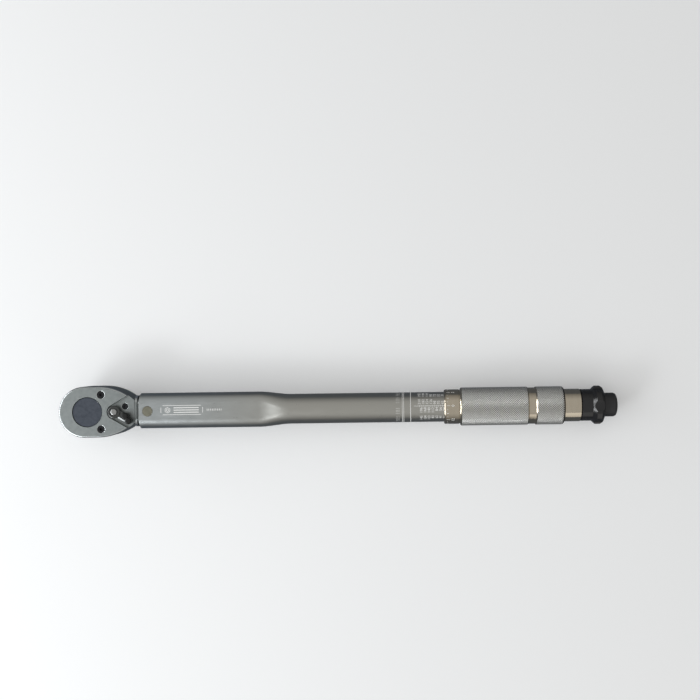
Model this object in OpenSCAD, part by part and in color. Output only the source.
// Click-type torque wrench with a half-inch square drive, a knurled screw-in
// grip that sets the torque, and a lock knob at its end.
//
// The origin is the centre of the square drive's free end. +X runs along the
// tube to the lock knob and +Z runs up the drive axis to the reversing lever.
// Heights in the modules are measured from the tube's axis, and on_axis()
// lifts them into place.

/* [Drive head] */
// Across the flats of the square drive
square_w = 12.7; // [12.7]
// How far the square stands out of the head
square_len = 15; // [13:0.5:18]
// Width of the ratchet head
head_w = 42.3; // [41:0.1:44]
// Thickness of the ratchet head
head_t = 22; // [21:0.5:24]
// Number of ratchet teeth, so that 30 degrees is a whole number of teeth
teeth = 36; // [24, 36, 48]
// Swing of the reversing lever to each side of the centre
lever_swing = 30; // [26:1:30]

/* [Tube] */
// Outside diameter of the round part of the tube
tube_d = 25; // [24:0.5:26]
// Wall of the tube
tube_wall = 2.1; // [1.8:0.1:2.2]
// Width of the flattened part of the tube
flat_w = 29.7; // [29:0.1:31]
// Thickness of the flattened part of the tube
flat_t = 17.3; // [17:0.1:18]

/* [Grip] */
// Outside diameter of the knurled grip
grip_d = 32; // [31:0.5:34]
// Outside diameter of the smooth collar that carries the fine scale
collar_d = 29; // [28.5:0.1:29.5]
// Thread pitch of the adjusting screw, which moves the grip along the tube
screw_pitch = 1.6; // [1.5:0.1:1.8]
// Turns of the grip from the lowest setting to the highest
grip_turns = 13; // [10:1:13]

/* [Lock knob] */
// Largest diameter of the lock knob
knob_d = 32.2; // [31:0.2:34]
// Number of finger scallops round the knob
scallops = 6; // [5:1:8]

/* [Hidden] */
$fn = 96;
run_gap = 0.05;    // radial clearance of a running fit
eps = 0.01;        // overlap that keeps joined shapes one solid

// Heights from the tube's axis
half_t = head_t / 2;
axis_z = square_len + half_t;   // height of the tube's axis above the origin
plate_z0 = 6;                   // underside of the cover plate
step_z = 8.2;                   // floor of the lever recess in the plate
pocket_z0 = -9;                 // floor of the ratchet pocket

// Head outline, seen from above
nose_r = head_w / 2;
nose_x = -2.7;                  // centre of the round nose
flank_x = 9;                    // where the straight sides start to curve in
flank_r = 42.5;                 // radius of the curved flanks
head_end = 38.4;                // end of the head, before the shoulder

// Ratchet
gear_tip = 15.2;
gear_root = 13.9;
pocket_r = 15.6;
window_r = 12.5;                // hole in the cover plate over the gear
boss_r = window_r - 0.15;
journal_r = 11.55;
mesh_gap = 0.12;                // between the pawl's teeth and the gear's
lever_x = 22.4;                 // lever and pawl turn about this line
shaft_r = 3.45;
near_lobe = [10.6, 1.5];        // lobes of the thumb pad, from the lever's axis
far_lobe = [14.4, -0.4];
lobe_r = 2.9;
lever_top = 14;                 // top of the thumb pad
recess_r = 6.2;                 // round end of the lever recess
pawl_rock = 5;                  // pawl's rock to each side of the centre
hub_r = 6.4;                    // the pawl's hub, round the lever's shaft
ball_r = 1.5;
ball_x = 3.2;                   // from the lever's axis to the centre of its ball

// Fasteners of the cover plate
screw_x = 11.3;
screw_y = 14.3;
screw_shank_r = 1.9;
screw_head_r = 2.95;
screw_head_h = 2.4;
screw_floor = half_t - 3.0;     // bottom of the counterbores
step_screw_x = 30.5;
step_screw_y = 4.3;

// Detent ball of the square drive
detent_r = 2.4;
detent_z = 8.2;                 // height of the ball above the square's end
detent_out = 1.0;               // how far the ball stands out of the face

// Tube, along X
mouth_x = 42;                   // front end of the tube
flat_end = 141;                 // the flattened part ends here
round_start = 168;              // the round part starts here
tube_end = 345;
tube_r = tube_d / 2;
bore_r = tube_r - tube_wall;

// Shank of the head, inside the tube
pin_x = 49.2;
pin_r = 4.25;
shank_t = flat_t - 2 * tube_wall - 0.5;
shank_wide = 21.6;
shank_slim = 18.4;
shank_step = 62;
seat_x = 133.4;                 // front seat of the trip block
seat_gap = 0.3;                 // from a seat's centre to the face round it
seat_play = 0.1;                // radial play of the trip block in its seats

// Trip block, plunger and spring
block_len = 10;                 // between the centres of its round ends
block_r = 2.4;
block_h = 9;
rear_seat = seat_x + block_len;
plunger_x = 169;                // start of the plunger's round part
plunger_end = 190;
spring_x0 = plunger_end + 0.1;
seat_face = 280;                // spring seat at the lowest setting
spring_x1 = seat_face - 0.1;
wire_r = 1.7;
spring_r = 8.2;                 // to the centre of the wire
spring_turns = 16;
wire_sides = 8;
steps_per_turn = 16;

// Adjusting screw and nut
screw_r = 6;
thrust_x = seat_face + 6.2;     // centre of the thrust ball
thrust_ball_r = 3;
ball_seat_r = thrust_ball_r + 0.02;
screw_front = thrust_x + 1.2;
screw_back = 392;
key_x = 384;                    // front of the socket for the lock pin
key_r = 3;
nut_x = 318;
nut_len = 22;
nut_pin_r = 1.5;
travel = screw_pitch * grip_turns;  // from the lowest setting to the highest

// Grip, along X at the lowest setting
collar_x = 296.3;
grip_x = 309.9;
groove_x = 366.5;
groove_w = 5.9;
groove_depth = 0.75;
grip_end = 396.5;
grip_round = 2.2;
grip_r = grip_d / 2;
collar_r = collar_d / 2;
sleeve_bore = tube_r + 0.1;
bush_x = tube_end + travel + 6.2;
bush_end = 410.3;
bush_r = 13.65;
cross_x = 380;
cross_pin_r = 1.5;

// Lock, along X when locked
lock_bolt_r = 4;
lock_bolt_x = 399;
hex_x = 424;                    // front of the bolt's hexagon head
hex_h = 4;
hex_r = 7;
knob_x = 410.7;
knob_neck_r = 13.3;
knob_flare = 419.6;
knob_wide = 422.6;
knob_end = 429.4;
knob_r = knob_d / 2;
cap_end = 440.8;
cap_r = 10;
plug_r = 8;                     // plug of the cap, in the knob's end

module on_axis() {
  translate([0, 0, axis_z]) children();
}

// A prism that runs along +X from x0 to x1, drawn with its profile's x as Y and its y as Z.
module along_x(x0, x1) {
  translate([x0, 0, 0]) rotate([90, 0, 90]) linear_extrude(x1 - x0) children();
}

// A round bar along X.
module bar(x0, x1, r) {
  translate([x0, 0, 0]) rotate([0, 90, 0]) cylinder(h = x1 - x0, r = r);
}

// A turned part along X. Its profile is drawn as [radius, distance along X].
module turned(x0) {
  translate([x0, 0, 0]) rotate([0, 90, 0]) rotate_extrude() children();
}

// An oval with flat top and bottom and half-round ends.
module oval(w, t) {
  square([w - t, t], center = true);
  for (side = [-1, 1]) translate([side * (w - t) / 2, 0]) circle(t / 2);
}

// ---- Head ----

module head_outline() {
  translate([nose_x, 0]) circle(nose_r);
  translate([nose_x, -nose_r]) square([flank_x - nose_x, head_w]);
  intersection() {
    translate([flank_x, nose_r - flank_r]) circle(flank_r);
    translate([flank_x, flank_r - nose_r]) circle(flank_r);
    translate([flank_x - eps, -nose_r]) square([head_end - flank_x + eps, head_w]);
  }
}

// Room for the pawl, between the gear and the lever's shaft.
module pawl_room() {
  side = [[3.5, 6], [1, 9.4], [-2.5, 12], [-7.2, 12.9], [-8.6, 12.2], [-10.9, 10.6], [-14, 5]];
  other = [for (i = [len(side) - 1:-1:0]) [side[i][0], -side[i][1]]];
  translate([lever_x, 0]) {
    circle(hub_r + 0.5);
    polygon(concat(side, other));
  }
}

module head_body() {
  color("silver") on_axis() difference() {
    union() {
      translate([0, 0, -half_t]) linear_extrude(plate_z0 + half_t) head_outline();
      along_x(head_end - 0.5, 40) oval(26, 15.6);
      along_x(39, shank_step) oval(shank_wide, shank_t);
      along_x(shank_step - 1, seat_x + seat_gap) oval(shank_slim, shank_t);
    }
    // The neck's top is cut level, so that the plate can lie on it.
    translate([flank_x, -nose_r, plate_z0]) cube([head_end - flank_x, head_w, head_t]);
    translate([0, 0, pocket_z0]) linear_extrude(head_t) {
      circle(pocket_r);
      pawl_room();
    }
    translate([0, 0, -head_t]) cylinder(h = head_t, r = journal_r + run_gap);
    translate([lever_x, 0, pocket_z0 - 1.2]) cylinder(h = 3, r = shaft_r + run_gap);
    for (side = [-1, 1]) translate([screw_x, side * screw_y, -4])
      cylinder(h = head_t, r = screw_shank_r);
    translate([step_screw_x, step_screw_y, -1]) cylinder(h = head_t, r = 1.5);
    translate([pin_x, 0, -head_t]) cylinder(h = 2 * head_t, r = pin_r + run_gap);
    translate([seat_x, 0, -head_t]) cylinder(h = 2 * head_t, r = block_r + seat_play);
  }
}

// The recess that the lever swings in: a round end with two straight walls.
module lever_recess() {
  far = 40;
  wall = lever_swing + 0.4;
  translate([lever_x, 0]) {
    circle(recess_r);
    polygon([
      recess_r * [-sin(wall), cos(wall)],
      recess_r * [-sin(wall), cos(wall)] + far * [cos(wall), sin(wall)],
      recess_r * [-sin(wall), -cos(wall)] + far * [cos(wall), -sin(wall)],
      recess_r * [-sin(wall), -cos(wall)]
    ]);
  }
}

module cover_plate() {
  color("silver") on_axis() difference() {
    translate([0, 0, plate_z0]) linear_extrude(half_t - plate_z0) head_outline();
    translate([0, 0, step_z]) linear_extrude(head_t) lever_recess();
    cylinder(h = head_t, r = window_r);
    translate([lever_x, 0, 0]) cylinder(h = head_t, r = shaft_r + run_gap);
    for (side = [-1, 1]) translate([screw_x, side * screw_y, 0]) {
      cylinder(h = head_t, r = screw_shank_r + 0.15);
      translate([0, 0, screw_floor]) cylinder(h = head_t, r = screw_head_r + 0.15);
    }
    translate([step_screw_x, step_screw_y, 0]) {
      cylinder(h = head_t, r = 1.65);
      translate([0, 0, step_z - 1.3]) cylinder(h = 3, r = 2.55);
    }
  }
}

// A screw along Z whose head sits on the height floor_z.
module socket_screw(floor_z, shank_r, head_r, head_h, length, key_r) {
  difference() {
    union() {
      translate([0, 0, floor_z]) cylinder(h = head_h, r = head_r);
      translate([0, 0, floor_z - length]) cylinder(h = length + eps, r = shank_r);
    }
    translate([0, 0, floor_z + head_h / 3]) cylinder(h = head_h, r = key_r, $fn = 6);
  }
}

module cover_screws() {
  color("dimgray") on_axis() for (side = [-1, 1])
    translate([screw_x, side * screw_y, 0])
      socket_screw(screw_floor, screw_shank_r, screw_head_r, screw_head_h, 11, 1.5);
}

module step_screw() {
  color("dimgray") on_axis() translate([step_screw_x, step_screw_y, 0])
    socket_screw(step_z - 1.3, 1.5, 2.4, 1.2, 7, 1.15);
}

// ---- Ratchet ----

// Outline of the toothed wheel, grown by gap.
module gear_outline(gap) {
  polygon([for (i = [0:2 * teeth - 1])
    let (r = (i % 2 == 0 ? gear_tip : gear_root) + gap, a = i * 180 / teeth)
    r * [cos(a), sin(a)]]);
}

// A square with its corners cut off.
module cut_square(cut) {
  e = square_w / 2;
  c = e - cut;
  polygon([[e, -c], [e, c], [c, e], [-c, e], [-e, c], [-e, -c], [-c, -e], [c, -e]]);
}

// Side view of the square, with a bevel at its free end. Its x runs down from the shoulder.
module bevelled_side(length, bevel) {
  e = square_w / 2;
  polygon([
    [0, -e], [length - bevel, -e], [length, bevel - e],
    [length, e - bevel], [length - bevel, e], [0, e]
  ]);
}

// The square drive, with its corners and the edges of its free end cut off.
module square_drive(length) {
  intersection() {
    linear_extrude(length) cut_square(0.7);
    intersection_for(turn = [0, 1]) rotate(90 * turn) translate([-square_w, 0, length]) rotate([0, 90, 0])
      linear_extrude(2 * square_w) bevelled_side(length, 0.9);
  }
}

module drive_gear() {
  color("dimgray") on_axis() difference() {
    union() {
      translate([0, 0, pocket_z0 + 0.3]) linear_extrude(plate_z0 - pocket_z0 - 0.5) gear_outline(0);
      translate([0, 0, -half_t]) cylinder(h = head_t - 0.8, r = journal_r);
      cylinder(h = half_t - 0.8, r = boss_r);
      translate([0, 0, -axis_z]) square_drive(square_len + 1);
    }
    translate([0, 0, detent_z - axis_z]) rotate([90, 0, 0])
      cylinder(h = square_w, r = detent_r + run_gap);
  }
}

module drive_ball() {
  color("silver") translate([0, -square_w / 2 + detent_r - detent_out, detent_z]) sphere(detent_r);
}

// A coil spring along +X from x0 to x1, measured to the outside of the wire.
module coil(x0, x1, r, wire, turns, steps, sides) {
  rings = turns * steps;
  rise = x1 - x0 - 2 * wire;
  points = [for (i = [0:rings], k = [0:sides - 1])
    let (a = 360 * i / steps, b = 360 * k / sides, reach = r + wire * cos(b))
    [x0 + wire + rise * i / rings + wire * sin(b), reach * cos(a), reach * sin(a)]];
  walls = [for (i = [0:rings - 1], k = [0:sides - 1])
    let (n = (k + 1) % sides, p = i * sides)
    [p + k, p + n, p + n + sides, p + k + sides]];
  first = [for (k = [sides - 1:-1:0]) k];
  last = [for (k = [0:sides - 1]) rings * sides + k];
  polyhedron(points, concat([first], walls, [last]), convexity = 8);
}

module drive_ball_spring() {
  back = -square_w / 2 + 2 * detent_r - detent_out + 0.05;
  color("gray") translate([0, 0, detent_z]) rotate([0, 0, 90])
    coil(back, -0.05, 1.5, 0.2, 3, 12, 6);
}

// Outline of the lever's arm, with the two lobes of its thumb pad at the end.
module lever_arm() {
  polygon([
    [0, 5], [6, 4.6], [near_lobe[0], near_lobe[1] + lobe_r],
    [far_lobe[0], -lobe_r], [4, -4.6], [0, -5]
  ]);
  translate(near_lobe) circle(lobe_r);
  translate(far_lobe) circle(lobe_r);
}

module reversing_lever() {
  top = 12.6;
  under = step_z + 0.2;
  color("dimgray") on_axis() translate([lever_x, 0, 0]) rotate(-lever_swing) difference() {
    union() {
      translate([0, 0, pocket_z0 - 1]) cylinder(h = top - pocket_z0, r = shaft_r);
      translate([0, 0, under]) cylinder(h = top - under, r = 5.3);
      translate([0, 0, top - eps]) cylinder(h = 0.9, r1 = 2.6, r2 = 1.8);
      translate([0, 0, under]) linear_extrude(3.4) lever_arm();
      translate([0, 0, under]) linear_extrude(lever_top - under) {
        translate(near_lobe) circle(lobe_r - 0.2);
        translate(far_lobe) circle(lobe_r - 0.2);
      }
    }
    translate([0, 0, -1.5]) rotate([0, 90, 0]) cylinder(h = 6, r = ball_r + run_gap);
  }
}

module lever_ball() {
  color("silver") on_axis() translate([lever_x, 0, -1.5]) rotate(-lever_swing)
    translate([ball_x, 0, 0]) sphere(ball_r);
}

module lever_spring() {
  color("gray") on_axis() translate([lever_x, 0, -1.5]) rotate(-lever_swing)
    coil(0.05, ball_x - ball_r - 0.05, 1.1, 0.22, 2, 12, 6);
}

module pawl_arm() {
  polygon([[0.5, 6], [-3.2, 9.6], [-8.5, 10.8], [-10.6, 9.2], [-11.5, 5.2], [-5.5, 3.2]]);
}

// Cup in the pawl for the lever's ball: two shallow flats with a corner between them.
module ball_cup() {
  flat = 4.74;
  lean = 30;
  edge = 62;
  corner = flat / cos(edge - lean);
  polygon([
    [0, 0], corner * [cos(edge), sin(edge)], [flat / cos(lean), 0], corner * [cos(edge), -sin(edge)]
  ]);
}

module pawl() {
  color("slategray") on_axis() translate([lever_x, 0, pocket_z0 + 0.3]) rotate(pawl_rock)
    linear_extrude(plate_z0 - pocket_z0 - 0.5) difference() {
      union() {
        circle(hub_r);
        pawl_arm();
        mirror([0, 1]) pawl_arm();
      }
      circle(shaft_r + run_gap);
      ball_cup();
      for (side = [-1, 1]) rotate(side * pawl_rock) translate([-lever_x, 0]) gear_outline(mesh_gap);
    }
}

// ---- Tube ----

// Smooth step from 0 to 1, level outside that range.
function ease(t) = t <= 0 ? 0 : t >= 1 ? 1 : t * t * (3 - 2 * t);

// Half of the flat part's length, and the radius of the ends, at share t of the neck.
function oval_flat(t) = (1 - ease(t)) * (flat_w - flat_t) / 2;
function oval_r(t) = flat_t / 2 + ease(t) * (tube_r - flat_t / 2);

// A ring of points round the neck at share t of it, a distance inset inside the tube's surface.
function neck_ring(t, inset, sides) = [for (k = [0:sides - 1])
  let (a = 360 * (k + 0.5) / sides, side = cos(a) > 0 ? 1 : -1, r = oval_r(t) - inset)
  [flat_end + t * (round_start - flat_end), side * oval_flat(t) + r * cos(a), r * sin(a)]];

// The stretch of tube between the flattened and the round part. Its two ends lie in their walls.
module neck() {
  sides = 48;
  steps = 14;
  lap = 1 / 24;
  skin = 0.1;
  shares = [for (i = [0:steps]) -lap + (1 + 2 * lap) * i / steps];
  outer = [for (t = shares) each neck_ring(t, skin, sides)];
  inner = [for (t = shares) each neck_ring(t, tube_wall - skin, sides)];
  start = (steps + 1) * sides;
  last = steps * sides;
  walls = [for (i = [0:steps - 1], k = [0:sides - 1])
    let (p = i * sides, n = (k + 1) % sides)
    each [
      [p + k, p + sides + k, p + sides + n, p + n],
      [start + p + k, start + p + n, start + p + sides + n, start + p + sides + k]
    ]];
  ends = [for (k = [0:sides - 1]) let (n = (k + 1) % sides)
    each [
      [k, n, start + n, start + k],
      [last + k, start + last + k, start + last + n, last + n]
    ]];
  polyhedron(concat(outer, inner), concat(walls, ends), convexity = 6);
}

module tube() {
  color("silver") on_axis() difference() {
    union() {
      difference() {
        along_x(mouth_x, flat_end) oval(flat_w, flat_t);
        along_x(mouth_x - 1, flat_end + 1) oval(flat_w - 2 * tube_wall, flat_t - 2 * tube_wall);
      }
      neck();
      difference() {
        bar(round_start, tube_end, tube_r);
        bar(round_start - 1, tube_end + 1, bore_r);
      }
    }
    translate([pin_x, 0, -head_t]) cylinder(h = 2 * head_t, r = pin_r);
    translate([nut_x + nut_len / 2, 0, -head_t]) cylinder(h = 2 * head_t, r = nut_pin_r);
    turned(tube_end - 3.2) translate([tube_r - 1, 0]) square([2, 1.4]);
  }
}

module pivot_pin() {
  color("darkkhaki") on_axis() translate([pin_x, 0, -flat_t / 2 - 0.1])
    cylinder(h = flat_t + 0.2, r = pin_r);
}

module adjusting_nut() {
  color("goldenrod") on_axis() difference() {
    bar(nut_x, nut_x + nut_len, bore_r);
    bar(nut_x - 1, nut_x + nut_len + 1, screw_r + 0.1);
    translate([nut_x + nut_len / 2, 0, -head_t]) cylinder(h = 2 * head_t, r = nut_pin_r);
  }
}

module nut_pins() {
  color("gray") on_axis() for (side = [0, 180])
    translate([nut_x + nut_len / 2, 0, 0]) rotate([side, 0, 0])
      translate([0, 0, screw_r + 0.6]) cylinder(h = tube_r - screw_r - 0.7, r = nut_pin_r);
}

module o_ring() {
  color("black") on_axis() turned(tube_end - 2.5) translate([tube_r - 0.44, 0]) circle(0.5);
}

module main_spring() {
  color("dimgray") on_axis()
    coil(spring_x0, spring_x1, spring_r, wire_r, spring_turns, steps_per_turn, wire_sides);
}

// ---- Trip mechanism ----

module trip_block() {
  color("gray") on_axis() translate([seat_x, 0, -block_h / 2]) linear_extrude(block_h) {
    circle(block_r);
    translate([block_len, 0]) circle(block_r);
    translate([0, -1.6]) square([block_len, 3.2]);
  }
}

module plunger() {
  nose_h = 12.2;
  nose_w = 14;
  color("gray") on_axis() difference() {
    union() {
      intersection() {
        translate([rear_seat - seat_gap, -nose_w / 2, -nose_h / 2])
          cube([plunger_x - rear_seat + 1, nose_w, nose_h]);
        bar(rear_seat - 1, plunger_x + 2, 8.4);
      }
      bar(plunger_x, plunger_end, bore_r - 0.1);
    }
    translate([rear_seat, 0, -head_t]) cylinder(h = 2 * head_t, r = block_r + seat_play);
  }
}

module spring_seat() {
  color("gray") on_axis() difference() {
    union() {
      bar(seat_face, seat_face + 5, bore_r - 0.1);
      bar(seat_face - 12, seat_face + 1, spring_r - wire_r - 0.4);
    }
    translate([thrust_x, 0, 0]) sphere(ball_seat_r);
  }
}

module thrust_ball() {
  color("silver") on_axis() translate([thrust_x, 0, 0]) sphere(thrust_ball_r);
}

// ---- Grip ----

module grip_sleeve() {
  bore = sleeve_bore;
  round_end = [for (a = [0:15:90])
    [grip_r - grip_round + grip_round * cos(a), grip_end - collar_x - grip_round + grip_round * sin(a)]];
  color("silver") on_axis() turned(collar_x) polygon(concat(
    [
      [bore, 0], [collar_r - 0.3, 0], [collar_r, 0.3], [collar_r, grip_x - collar_x],
      [grip_r - 0.6, grip_x - collar_x], [grip_r, grip_x - collar_x + 0.6],
      [grip_r, groove_x - collar_x - 0.5],
      [grip_r - groove_depth, groove_x - collar_x],
      [grip_r - groove_depth, groove_x + groove_w - collar_x],
      [grip_r, groove_x + groove_w - collar_x + 0.5]
    ],
    round_end,
    [[bore, grip_end - collar_x]]));
}

module end_bush() {
  color("silver") on_axis() difference() {
    union() {
      bar(bush_x, grip_end, sleeve_bore);
      turned(grip_end) polygon([
        [0, -1], [sleeve_bore, -1], [sleeve_bore, 0], [bush_r, 0],
        [bush_r, bush_end - grip_end - 0.6], [bush_r - 0.6, bush_end - grip_end],
        [0, bush_end - grip_end]
      ]);
    }
    bar(bush_x - 1, screw_back, screw_r);
    bar(screw_back - 1, bush_end + 1, lock_bolt_r + 0.1);
    translate([cross_x, 0, -head_t]) cylinder(h = 2 * head_t, r = cross_pin_r);
  }
}

module adjusting_screw() {
  color("gray") on_axis() difference() {
    bar(screw_front, screw_back, screw_r);
    translate([thrust_x, 0, 0]) sphere(ball_seat_r);
    bar(key_x, screw_back + 1, key_r);
    translate([cross_x, 0, -head_t]) cylinder(h = 2 * head_t, r = cross_pin_r);
  }
}

module cross_pin() {
  color("gray") on_axis() translate([cross_x, 0, -sleeve_bore + 0.2])
    cylinder(h = 2 * sleeve_bore - 0.4, r = cross_pin_r);
}

// ---- Lock ----

module lock_pin() {
  color("gray") on_axis() difference() {
    bar(key_x + 0.5, lock_bolt_x - 0.1, key_r - 0.1);
    bar(lock_bolt_x - 4, lock_bolt_x, 1.2);
  }
}

module lock_bolt() {
  color("gray") on_axis() {
    bar(lock_bolt_x, hex_x + eps, lock_bolt_r);
    translate([hex_x, 0, 0]) rotate([0, 90, 0]) cylinder(h = hex_h, r = hex_r, $fn = 6);
  }
}

// The knob's outline cut by finger scallops, seen along its axis.
module scalloped(r, depth) {
  scallop_r = 9;
  difference() {
    circle(r);
    for (i = [0:scallops - 1]) rotate(90 + i * 360 / scallops)
      translate([r + scallop_r - depth, 0]) circle(scallop_r);
  }
}

module lock_knob() {
  color("black") on_axis() difference() {
    union() {
      bar(knob_x, knob_flare + eps, knob_neck_r);
      intersection() {
        turned(knob_flare) polygon([
          [0, 0], [knob_neck_r, 0], [knob_r, knob_wide - knob_flare],
          [knob_r, knob_end - knob_flare - 2.6], [knob_r - 1.1, knob_end - knob_flare - 0.8],
          [knob_r - 2.6, knob_end - knob_flare], [0, knob_end - knob_flare]
        ]);
        along_x(knob_flare - 1, knob_end + 1) scalloped(knob_r + 0.5, 2.2);
      }
    }
    bar(knob_x - 1, knob_end, lock_bolt_r);
    translate([hex_x, 0, 0]) rotate([0, 90, 0]) cylinder(h = hex_h, r = hex_r, $fn = 6);
    bar(hex_x + hex_h - eps, knob_end + 1, plug_r);
  }
}

module knob_cap() {
  rim = cap_end - knob_end;
  plug_x = hex_x + hex_h - knob_end;
  color("black") on_axis() turned(knob_end) polygon([
    [0, plug_x], [plug_r, plug_x], [plug_r, 0], [cap_r, 0],
    [cap_r, rim - 2.4], [cap_r - 0.8, rim - 0.8], [cap_r - 2.4, rim], [0, rim]
  ]);
}

tube();
pivot_pin();
adjusting_nut();
nut_pins();
o_ring();
main_spring();
head_body();
cover_plate();
cover_screws();
step_screw();
drive_gear();
drive_ball();
drive_ball_spring();
reversing_lever();
lever_ball();
lever_spring();
pawl();
plunger();
trip_block();
spring_seat();
thrust_ball();
grip_sleeve();
end_bush();
adjusting_screw();
cross_pin();
lock_pin();
lock_bolt();
lock_knob();
knob_cap();
